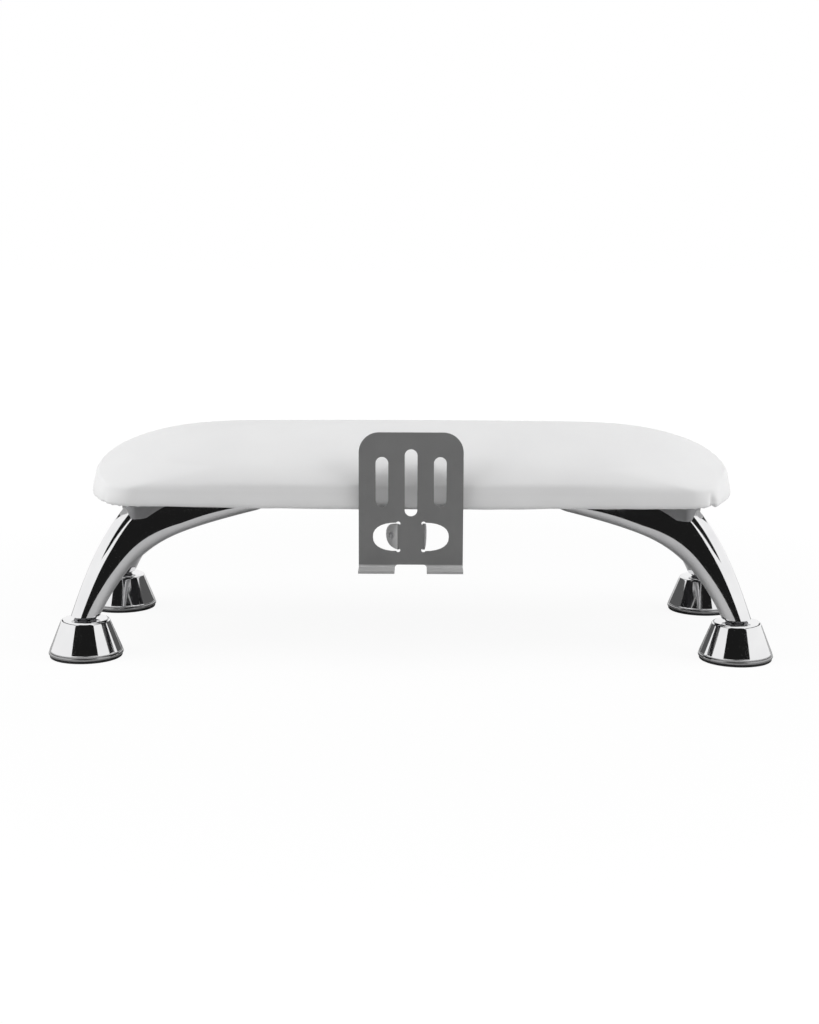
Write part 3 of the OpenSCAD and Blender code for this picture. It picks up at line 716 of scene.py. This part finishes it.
def horn(rings, sides):
    """The horn cut level over the foot and flattened where it meets the board."""
    turns = np.arange(sides) * 2 * math.pi / sides
    columns = []
    for turn in turns:
        start = crossing(turn, LEG_END_Z, LEG_START, 0.12)
        places = start + (1 - start) * np.linspace(0, 1, rings) ** 0.9
        heights = np.array([leg_point(t, turn)[2] for t in places])
        points = np.array([leg_point(t, turn) for t in places])
        over = np.flatnonzero(heights > UNDER_Z)
        if len(over):
            first, last = over[0], over[-1]
            points[first] = leg_point(crossing(turn, UNDER_Z, places[first - 1], places[first]), turn)
            if last + 1 < rings:
                down = crossing(turn, UNDER_Z, places[last + 1], places[last])
                points[last] = leg_point(down, turn)
            points[over, 2] = UNDER_Z
        columns.append(points)
    rows = np.stack(columns, axis=1)
    faces = tube_faces(rings, sides)
    faces.append(tuple(range(sides)))
    faces.append(tuple((rings - 1) * sides + i for i in range(sides)))
    return rows.reshape(-1, 3), faces


def mounting_pad():
    """The pad of the leg under the board: rounded corners and lower edge, sides a little sloped."""
    edge = 0.8 * MM
    rings = []
    for turn in np.linspace(0, math.pi / 2, 6):
        inset = PAD_DRAFT + edge * (1 - math.sin(turn))
        ring = rounded_rectangle(PAD_LENGTH - 2 * inset, PAD_W - 2 * inset, PAD_CORNER_R - inset)
        z = UNDER_Z - PAD_H + edge * (1 - math.cos(turn))
        rings.append(np.column_stack([ring, np.full(len(ring), z)]))
    top = rounded_rectangle(PAD_LENGTH, PAD_W, PAD_CORNER_R)
    rings.append(np.column_stack([top, np.full(len(top), UNDER_Z)]))
    count = len(top)
    points = np.vstack(rings) + (PAD_START + PAD_LENGTH / 2, 0, 0)
    faces = tube_faces(len(rings), count)
    faces.append(tuple(range(count)))
    faces.append(tuple((len(rings) - 1) * count + i for i in range(count)))
    return points, faces


def at_corner(points, side, end, yaw=0.0):
    """Turns points of a front left leg or foot into their place at a corner."""
    c, s = math.cos(yaw), math.sin(yaw)
    turned = points @ np.array([[c, s, 0], [-s, c, 0], [0, 0, 1]])
    placed = turned + (-FOOT_X, -FOOT_Y, 0)
    return placed * (-sign_of(side), -sign_of(end), 1)


def leg(side, end, horn_form, pad_form, polished, cast):
    points, faces = horn_form
    pad_points, pad_faces = pad_form
    joined = np.vstack([points, pad_points])
    faces = faces + [tuple(len(points) + i for i in f) for f in pad_faces]
    name = f"leg_{end}_{side}"
    placed = at_corner(joined, side, end, LEG_YAW)
    piece = new_piece(name + "_chrome", placed, faces, 40, len(pad_faces))
    fit(piece, "frame", polished, "leg_chrome", name)
    piece.data.materials.append(cast)


# Feet

def cup_profile():
    shoulder_z = FOOT_H - SHOULDER_R
    bead_x = FOOT_R - BEAD_R
    bead_z = PAD_RIM_H + BEAD_R
    foot_x = FOOT_R - BEAD_R / 3
    foot_z = bead_z + BEAD_R + 0.2 * MM
    mouth_x = bead_x - BEAD_R / 4
    wall = CUP_T / math.cos(CONE_TURN)
    top_x = SHOULDER_X + SHOULDER_R * math.cos(CONE_TURN)
    top_z = shoulder_z + SHOULDER_R * math.sin(CONE_TURN)
    lip = 0.35 * MM
    low, high = (foot_x - 0.1 * MM, foot_z + 0.3 * MM), (top_x, top_z)
    profile = [(foot_x - 0.15 * MM, foot_z - 0.1 * MM), low]
    profile += [tuple(a + (b - a) * share for a, b in zip(low, high)) for share in (0.03, 0.97)]
    profile += arc(SHOULDER_X, shoulder_z, SHOULDER_R, math.degrees(CONE_TURN), 90, 14)
    profile += arc(STUD_HOLE_R + lip, FOOT_H - lip, lip, 90, 180, 4)
    profile += [(STUD_HOLE_R, FOOT_H - CUP_T), (SHOULDER_X, FOOT_H - CUP_T)]
    profile += [(top_x - wall, top_z - CUP_T / 2), (foot_x - wall, foot_z), (mouth_x, foot_z - CUP_T)]
    profile.append((mouth_x, PAD_RIM_H))
    profile += arc(bead_x, bead_z, BEAD_R, -90, 62, BEAD_STEPS)
    return profile


def foot_cup(side, end, material, bead_shade_painted):
    """A chrome cup, whose bead has a darker copy of its chrome: a painted dark reflection and shade
    near the table.
    """
    points, faces = lathe(cup_profile(), 128)
    name = f"foot_cup_{end}_{side}"
    placed = at_corner(points, side, end)
    piece = new_piece(name + "_chrome", placed, faces, 40, (BEAD_STEPS + 2) * 128)
    fit(piece, f"foot_{end}_{side}", material, "cup_chrome", name)
    piece.data.materials.append(bead_shade_painted)


def pad_profile():
    """The rubber under a cup: a plug, a rim with soft edges and rings of grip below."""
    rim = FOOT_R - BEAD_R / 2
    plug = FOOT_R - BEAD_R - BEAD_R / 4 - 0.1 * MM
    edge = 0.4 * MM
    groove = 0.5 * MM
    profile = [(0, PAD_RIM_H + PAD_PLUG_H), (plug, PAD_RIM_H + PAD_PLUG_H), (plug, PAD_RIM_H)]
    profile += arc(rim - edge, PAD_RIM_H - edge, edge, 90, 0, 4)
    profile += arc(rim - edge, edge, edge, 0, -90, 4)
    for r in (18 * MM, 15 * MM, 12 * MM, 9 * MM, 6 * MM):
        profile += [(r, 0), (r - groove / 2, groove), (r - groove, groove), (r - 1.5 * groove, 0)]
    profile.append((0, 0))
    return profile


def foot_pad(side, end, material):
    points, faces = lathe(pad_profile(), 96, closed=False)
    name = f"foot_pad_{end}_{side}"
    piece = new_piece(name + "_rubber", at_corner(points, side, end), faces, 40)
    return fit(piece, f"foot_{end}_{side}", material, "rubber", name)


def thread(low, high, steps=40):
    """A threaded shank about Z with a small chamfer at its upper end."""
    rows = int((high - low) / (THREAD_PITCH / 6))
    turns = np.arange(steps) * 2 * math.pi / steps
    rings = []
    for z in np.linspace(low, high, rows + 1):
        phase = z / THREAD_PITCH - turns / (2 * math.pi)
        ridge = np.abs((phase % 1) - 0.5) * 2
        r = STUD_R - 0.55 * MM * (1 - ridge)
        r = np.minimum(r, STUD_R - 0.8 * MM + (high - z))
        rings.append(np.column_stack([r * np.cos(turns), r * np.sin(turns), np.full(steps, z)]))
    faces = tube_faces(len(rings), steps)
    faces.append(tuple(range(steps)))
    faces.append(tuple((len(rings) - 1) * steps + i for i in range(steps)))
    return np.vstack(rings), faces


def hexagon_nut(low, high):
    """A hexagon with chamfered corners."""
    corner = STUD_HEX / math.sqrt(3)
    chamfer = 0.35 * MM
    turns = np.linspace(0, 2 * math.pi, 73)[:-1]
    flat = STUD_HEX / 2 / np.cos((turns % (math.pi / 3)) - math.pi / 6)
    rings = []
    for z, limit in ((low, corner - 2 * chamfer), (low + chamfer, corner),
                     (high - chamfer, corner), (high, corner - 2 * chamfer)):
        r = np.minimum(flat, limit)
        rings.append(np.column_stack([r * np.cos(turns), r * np.sin(turns), np.full(72, z)]))
    faces = tube_faces(4, 72)
    faces.append(tuple(range(72)))
    faces.append(tuple(3 * 72 + i for i in range(72)))
    return np.vstack(rings), faces


def foot_stud(side, end, material):
    name = f"foot_stud_{end}_{side}"
    low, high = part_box(name)
    head_h = 2.4 * MM
    head_r = 5.5 * MM
    hex_z = FOOT_H + 0.1 * MM
    top = low.z + head_h
    head = lathe([(0, low.z), (head_r, low.z), (head_r, top), (0, top)], 48, False)
    shank = thread(top, high.z)
    nut = hexagon_nut(hex_z, hex_z + 1.7 * MM)
    points = np.vstack([head[0], shank[0], nut[0]])
    faces = list(head[1])
    faces += [tuple(len(head[0]) + i for i in f) for f in shank[1]]
    faces += [tuple(len(head[0]) + len(shank[0]) + i for i in f) for f in nut[1]]
    piece = new_piece(name + "_steel", at_corner(points, side, end), faces, 35)
    return fit(piece, f"stud_{end}_{side}", material, "stud_steel", name)


def paint_light_on_ledge_and_ears(plate):
    """Gives the ledge and the ears of the phone plate its lighter second paint: painted light on faces
    turned to the lamps.
    """
    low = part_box("phone_plate")[0]
    sheet_back = -HALF_DEPTH - PLATE_GAP
    for face in plate.data.polygons:
        on_ear = face.center.y > sheet_back + 0.3 * MM
        on_ledge = face.center.z < low.z + 3.2 * MM and face.normal.z > -0.3
        if on_ear or on_ledge:
            face.material_index = 1


# Studio

# Cards: angles in degrees, radii and heights in metres
CARD_R = 1.5
CARD_FOOT_Z = 0.002
CARD_POINTS = 41
BLACK_CARD = 0.012
SIDE_CARD = 0.06
MIDDLE_CARD = 0.10
WALL_TURN = 43
WALL_LOW, WALL_HIGH = 20, 68
ARCH_TURN = 40
ARCH_LOW, ARCH_TOP, ARCH_FALL = -5, 19, 0.43
FLOOR_TURN = 80
NEAR_R, NEAR_GAIN, NEAR_TURNS = 0.15, 0.6, (18, 34)
SIDE_TURNS = np.array([50, 68, 85, 103, 119, 134, 150])
SIDE_LOWS = np.array([42, 42, 38, 32, 24, 13, 4])
SIDE_CARD_H = 12

# Lights
ROOM_LIGHT = 0.05
TOP_POWER = 9.6
SIDE_POWER_BACK = 4.3
SIDE_POWER_FRONT = 5.5


def seen_by_reflections_only(thing):
    thing.visible_camera = False
    thing.visible_diffuse = False
    thing.visible_shadow = False
    thing.visible_transmission = False
    thing.visible_volume_scatter = False


def glow(name, strength):
    material = bpy.data.materials.new(name)
    material.use_nodes = True
    tree = material.node_tree
    tree.nodes.clear()
    shader = tree.nodes.new("ShaderNodeEmission")
    shader.inputs["Color"].default_value = (1, 1, 1, 1)
    shader.inputs["Strength"].default_value = strength
    output = tree.nodes.new("ShaderNodeOutputMaterial")
    tree.links.new(shader.outputs["Emission"], output.inputs["Surface"])
    return material


def card(name, headings, lows, highs, strength):
    """A dark studio card that only reflections see: (radius, height) of its edges at each heading."""
    turns = np.radians(headings)
    rings = []
    for edge in (lows, highs):
        r, z = np.array(edge, float).T
        rings.append(np.column_stack([r * np.sin(turns), -r * np.cos(turns), z]))
    count = len(turns)
    show_in_reflections(new_piece(name, np.vstack(rings), strip(0, count, count, False)), strength)


def wall_card(name, headings, lows, highs, strength):
    """A card standing round the object, whose edges are seen at the given angles over the table."""
    edges = [
        [(CARD_R, max(CARD_FOOT_Z, 0.05 + CARD_R * math.tan(math.radians(angle)))) for angle in angles]
        for angles in (lows, highs)
    ]
    card(name, headings, *edges, strength)


def show_in_reflections(piece, strength):
    piece.data.materials.append(glow(piece.name, strength))
    seen_by_reflections_only(piece)


def middle_card():
    """A dark card under the middle of the cushion, seen in the inner sides of the cups."""
    y0, y1, z1 = 0.05, 0.45, UNDER_Z - 6 * MM
    corners = [(0, y0, CARD_FOOT_Z), (0, y1, CARD_FOOT_Z), (0, y1, z1), (0, y0, z1)]
    show_in_reflections(new_piece("middle_card", corners, [(0, 1, 2, 3)]), MIDDLE_CARD)


def floor():
    """A pale table, white to the camera far out, and see-through from below."""
    size, z = 6.0, -0.05 * MM
    corners = [(-size, -size, z), (size, -size, z), (size, size, z), (-size, size, z)]
    piece = new_piece("floor", corners, [(0, 1, 2, 3)])
    material = bpy.data.materials.new("floor")
    material.use_nodes = True
    tree = material.node_tree
    tree.nodes.clear()
    surface = tree.nodes.new("ShaderNodeBsdfDiffuse")
    white = tree.nodes.new("ShaderNodeEmission")
    white.inputs["Strength"].default_value = 1.03
    path = tree.nodes.new("ShaderNodeLightPath")
    place = tree.nodes.new("ShaderNodeNewGeometry")
    away = tree.nodes.new("ShaderNodeVectorMath")
    away.operation = "LENGTH"
    tree.links.new(place.outputs["Position"], away.inputs[0])
    fade = tree.nodes.new("ShaderNodeMapRange")
    fade.interpolation_type = "SMOOTHSTEP"
    fade.inputs["From Min"].default_value = 0.25
    fade.inputs["From Max"].default_value = 0.75
    fade.inputs["To Min"].default_value = 0.90
    fade.inputs["To Max"].default_value = 1.0
    tree.links.new(away.outputs["Value"], fade.inputs["Value"])
    far = tree.nodes.new("ShaderNodeMapRange")
    far.interpolation_type = "SMOOTHSTEP"
    far.inputs["From Min"].default_value = 0.6
    far.inputs["From Max"].default_value = 1.1
    tree.links.new(away.outputs["Value"], far.inputs["Value"])
    in_reflections = tree.nodes.new("ShaderNodeMath")
    in_reflections.operation = "MULTIPLY"
    tree.links.new(path.outputs["Is Glossy Ray"], in_reflections.inputs[0])
    tree.links.new(far.outputs["Result"], in_reflections.inputs[1])
    share = tree.nodes.new("ShaderNodeMath")
    share.operation = "MULTIPLY_ADD"
    tree.links.new(path.outputs["Is Camera Ray"], share.inputs[0])
    tree.links.new(fade.outputs["Result"], share.inputs[1])
    tree.links.new(in_reflections.outputs["Value"], share.inputs[2])
    shade = tree.nodes.new("ShaderNodeMix")
    shade.data_type = "RGBA"
    shade.inputs["A"].default_value = (0.74, 0.74, 0.74, 1)
    shade.inputs["B"].default_value = (0.60, 0.60, 0.60, 1)
    tree.links.new(path.outputs["Is Glossy Ray"], shade.inputs["Factor"])
    tree.links.new(shade.outputs["Result"], surface.inputs["Color"])
    blend = tree.nodes.new("ShaderNodeMixShader")
    tree.links.new(share.outputs["Value"], blend.inputs["Fac"])
    tree.links.new(surface.outputs["BSDF"], blend.inputs[1])
    tree.links.new(white.outputs["Emission"], blend.inputs[2])
    from_below = tree.nodes.new("ShaderNodeMixShader")
    tree.links.new(place.outputs["Backfacing"], from_below.inputs["Fac"])
    tree.links.new(blend.outputs["Shader"], from_below.inputs[1])
    tree.links.new(tree.nodes.new("ShaderNodeBsdfTransparent").outputs["BSDF"], from_below.inputs[2])
    output = tree.nodes.new("ShaderNodeOutputMaterial")
    tree.links.new(from_below.outputs["Shader"], output.inputs["Surface"])
    piece.data.materials.append(material)


def world():
    """An even pale room: white to the camera and to reflections, dimmer as a light."""
    made = bpy.data.worlds.new("room")
    bpy.context.scene.world = made
    made.use_nodes = True
    tree = made.node_tree
    back = tree.nodes["Background"]
    back.inputs["Color"].default_value = (1, 1, 1, 1)
    path = tree.nodes.new("ShaderNodeLightPath")
    seen = tree.nodes.new("ShaderNodeMath")
    seen.operation = "MAXIMUM"
    tree.links.new(path.outputs["Is Camera Ray"], seen.inputs[0])
    tree.links.new(path.outputs["Is Glossy Ray"], seen.inputs[1])
    level_of = tree.nodes.new("ShaderNodeMapRange")
    level_of.inputs["To Min"].default_value = ROOM_LIGHT
    level_of.inputs["To Max"].default_value = 1.0
    tree.links.new(seen.outputs["Value"], level_of.inputs["Value"])
    tree.links.new(level_of.outputs["Result"], back.inputs["Strength"])


def lamp(name, place, target, width, height, power):
    data = bpy.data.lights.new(name, "AREA")
    data.shape = "RECTANGLE"
    data.size = width
    data.size_y = height
    data.energy = power
    made = bpy.data.objects.new(name, data)
    made.location = place
    made.rotation_euler = (Vector(target) - Vector(place)).to_track_quat("-Z", "Y").to_euler()
    made.visible_glossy = False
    bpy.context.scene.collection.objects.link(made)


def camera():
    """Fitted to the photograph: 10 degrees down, with its small turn and tilt."""
    down, turn, tilt = math.radians(10), math.radians(-0.303), math.radians(0.208)
    look_at = Vector((-1.26, 0, 77.4)) * MM
    distance = 1.104
    level_part = math.cos(down)
    ahead = Vector((math.sin(turn) * level_part, math.cos(turn) * level_part, -math.sin(down)))
    right = Vector((math.cos(turn), -math.sin(turn), 0))
    above = right.cross(ahead)
    across = math.cos(tilt) * right + math.sin(tilt) * above
    upright = math.cos(tilt) * above - math.sin(tilt) * right
    data = bpy.data.cameras.new("photo")
    data.sensor_width = 36
    data.lens = 61.07
    made = bpy.data.objects.new("photo", data)
    bpy.context.scene.collection.objects.link(made)
    axes = Matrix((across, upright, -ahead)).transposed().to_4x4()
    made.matrix_world = Matrix.Translation(look_at - distance * ahead) @ axes
    bpy.context.scene.camera = made


def lamps():
    lamp("top", (0, -0.22, 1.33), (0, 0, 0.1), 1.5, 1.1, TOP_POWER)
    for name, across in (("left", -1), ("right", 1)):
        lamp(name, (1.25 * across, 0.15, 0.45), (0, 0, 0.1), 0.7, 0.9, SIDE_POWER_BACK)
        lamp(name + "_front", (1.1 * across, -0.5, 0.6), (0, 0, 0.1), 0.7, 0.9, SIDE_POWER_FRONT)


def cards():
    """Black in front, from the table up and on it, and a dark grey band to each side."""
    across = np.linspace(-1, 1, CARD_POINTS)
    lows, highs = [WALL_LOW] * CARD_POINTS, [WALL_HIGH] * CARD_POINTS
    wall_card("front_wall", WALL_TURN * across, lows, highs, BLACK_CARD)
    highs = ARCH_TOP - ARCH_FALL * np.abs(ARCH_TURN * across)
    wall_card("front_arch", ARCH_TURN * across, [ARCH_LOW] * CARD_POINTS, highs, BLACK_CARD)
    near = NEAR_R + NEAR_GAIN * smooth(*NEAR_TURNS, np.abs(FLOOR_TURN * across))
    inner, outer = [(r, CARD_FOOT_Z) for r in near], [(CARD_R, CARD_FOOT_Z)] * CARD_POINTS
    card("front_floor", FLOOR_TURN * across, inner, outer, BLACK_CARD)
    for side, turn in (("left", -1), ("right", 1)):
        wall_card(side + "_wall", turn * SIDE_TURNS, SIDE_LOWS, SIDE_LOWS + SIDE_CARD_H, SIDE_CARD)
    middle_card()


def build():
    camera()
    world()
    floor()
    lamps()
    cards()

    polished = chrome("leg_chrome", 0.10)
    cup_polish = chrome("cup_chrome", 0.06)
    # A darker copy of the cups' chrome for their beads: painted dark reflection and shade near the
    # table.
    bead_shade_painted = chrome("bead_shade_painted_chrome", 0.06, 0.45)
    cast = bare_metal("cast_pad", (0.42, 0.42, 0.43), 0.38, 0.55, (1, 1, 1))
    black_rubber = rubber()
    plastic = nylon()
    zinc = bare_metal("zinc_steel", (0.66, 0.67, 0.69), 0.22, 0.38)
    dark_steel = bare_metal("stud_steel", (0.20, 0.20, 0.21), 0.25, 0.42)
    bright_pin = bare_metal("pin_steel", (0.80, 0.80, 0.82), 0.34, 0.46, (12, 1, 1))
    brass = bare_metal("insert_brass", (0.72, 0.56, 0.28), 0.22, 0.35)
    plate_paint = satin_paint("plate_paint", (0.25, 0.25, 0.25), (0.27, 0.27, 0.27))
    # A lighter copy of the plate's paint: painted highlight on its edges and painted light on its
    # ledge and ears.
    plate_light_painted = satin_paint("plate_light_painted", (0.48, 0.48, 0.48), (0.54, 0.54, 0.54))
    bracket_paint = satin_paint("bracket_paint", (0.26, 0.26, 0.26), (0.28, 0.28, 0.28))

    cushion_cover(leatherette())
    foam_block(foam_skin())
    dust_cover(dust_cloth())
    board = frame["nodes"]["board"]
    board.data.materials.clear()
    board.data.materials.append(board_wood())

    horn_form, pad_form = horn(150, 64), mounting_pad()
    for side, end in CORNERS:
        leg(side, end, horn_form, pad_form, polished, cast)
        foot_cup(side, end, cup_polish, bead_shade_painted)
        foot_pad(side, end, black_rubber)
        foot_stud(side, end, dark_steel)
        core = frame["nodes"][f"foot_core_{end}_{side}"]
        core.data.materials.clear()
        core.data.materials.append(plastic)

    small = [
        ("phone_plate", 0.42 * MM, "phone_plate", plate_paint, "plate_paint"),
        ("holder_bracket", 0.25 * MM, "frame", bracket_paint, "bracket_steel"),
        ("hinge_pin", 0.35 * MM, "frame", bright_pin, "pin_steel"),
        ("hinge_washers", 0.12 * MM, "frame", plastic, "nylon"),
        ("staples", 0.12 * MM, "frame", zinc, "zinc_steel"),
        ("leg_screws", 0.25 * MM, "frame", zinc, "zinc_steel"),
        ("leg_washers", 0.12 * MM, "frame", zinc, "zinc_steel"),
        ("bracket_screws", 0.2 * MM, "frame", zinc, "zinc_steel"),
        ("bracket_inserts", 0.12 * MM, "frame", brass, "insert_brass"),
    ]
    for node, width, body, material, slot in small:
        piece = fit(rounded_copy(node, width), body, material, slot, node)
        # The phone plate's rounded edges, ledge and ears take the lighter paint: painted light.
        piece.data.materials.append(plate_light_painted if material is plate_paint else material)
        if material is plate_paint:
            paint_light_on_ledge_and_ears(piece)

    bpy.context.scene.view_settings.view_transform = "Standard"


build()
